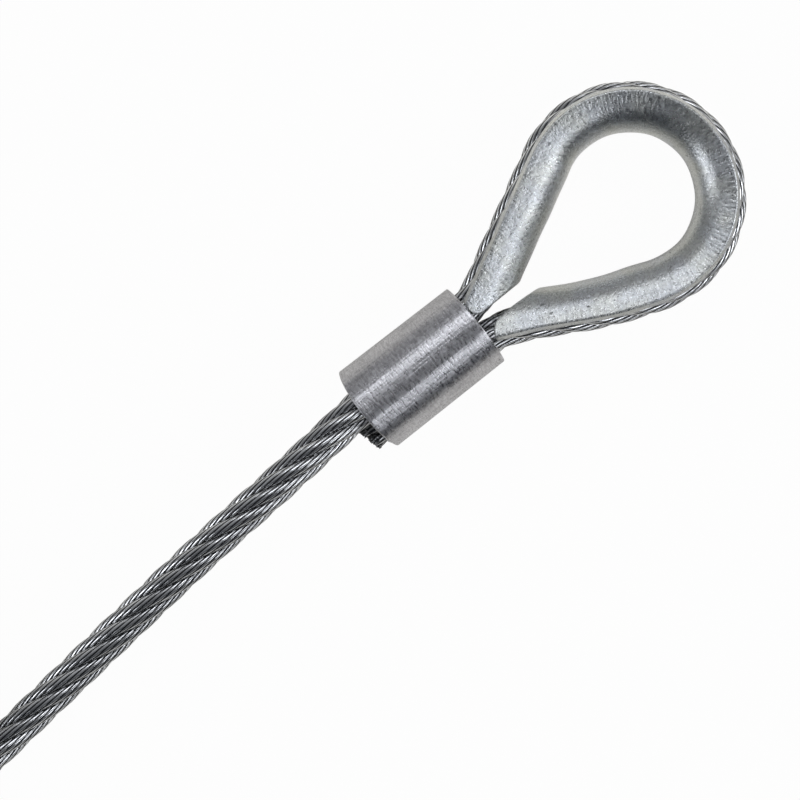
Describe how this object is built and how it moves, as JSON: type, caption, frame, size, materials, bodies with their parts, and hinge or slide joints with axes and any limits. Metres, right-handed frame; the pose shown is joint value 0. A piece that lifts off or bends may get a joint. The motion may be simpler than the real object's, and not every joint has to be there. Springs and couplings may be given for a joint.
{
  "type": "thimble eye",
  "caption": "Wire rope end turned round a galvanised teardrop thimble and pressed into an aluminium ferrule, with its tail cut short and the spare rope coiled and tied.",
  "frame": {"origin": "centre of the eye's crown, on the eye's middle plane", "axes": "+X along the eye's axis towards the crown, so the rope leaves towards -X; +Z square to the eye's plane, the way a shackle pin goes through; the part lies flat and rests at z = -0.00765"},
  "size_m": [0.2275, 0.0849, 0.0153],
  "materials": {
    "zinc_plate": "zinc plated, mottled, satin",
    "pressed_aluminium": "pressed, satin, with lengthwise die marks",
    "rope_wire": "drawn galvanised wire, bright with dark gaps",
    "soft_wire": "annealed galvanised tie wire"
  },
  "bodies": {
    "root": {"thimble": "zinc_plate", "ferrule": "pressed_aluminium", "eye_core_strand": "rope_wire", "eye_strand_1": "rope_wire", "eye_strand_2": "rope_wire", "eye_strand_3": "rope_wire", "eye_strand_4": "rope_wire", "eye_strand_5": "rope_wire", "eye_strand_6": "rope_wire", "standing_rope": "rope_wire", "rope_coil": "rope_wire", "end_seizing": "soft_wire", "coil_ties": "soft_wire"}
  },
  "joints": []
}
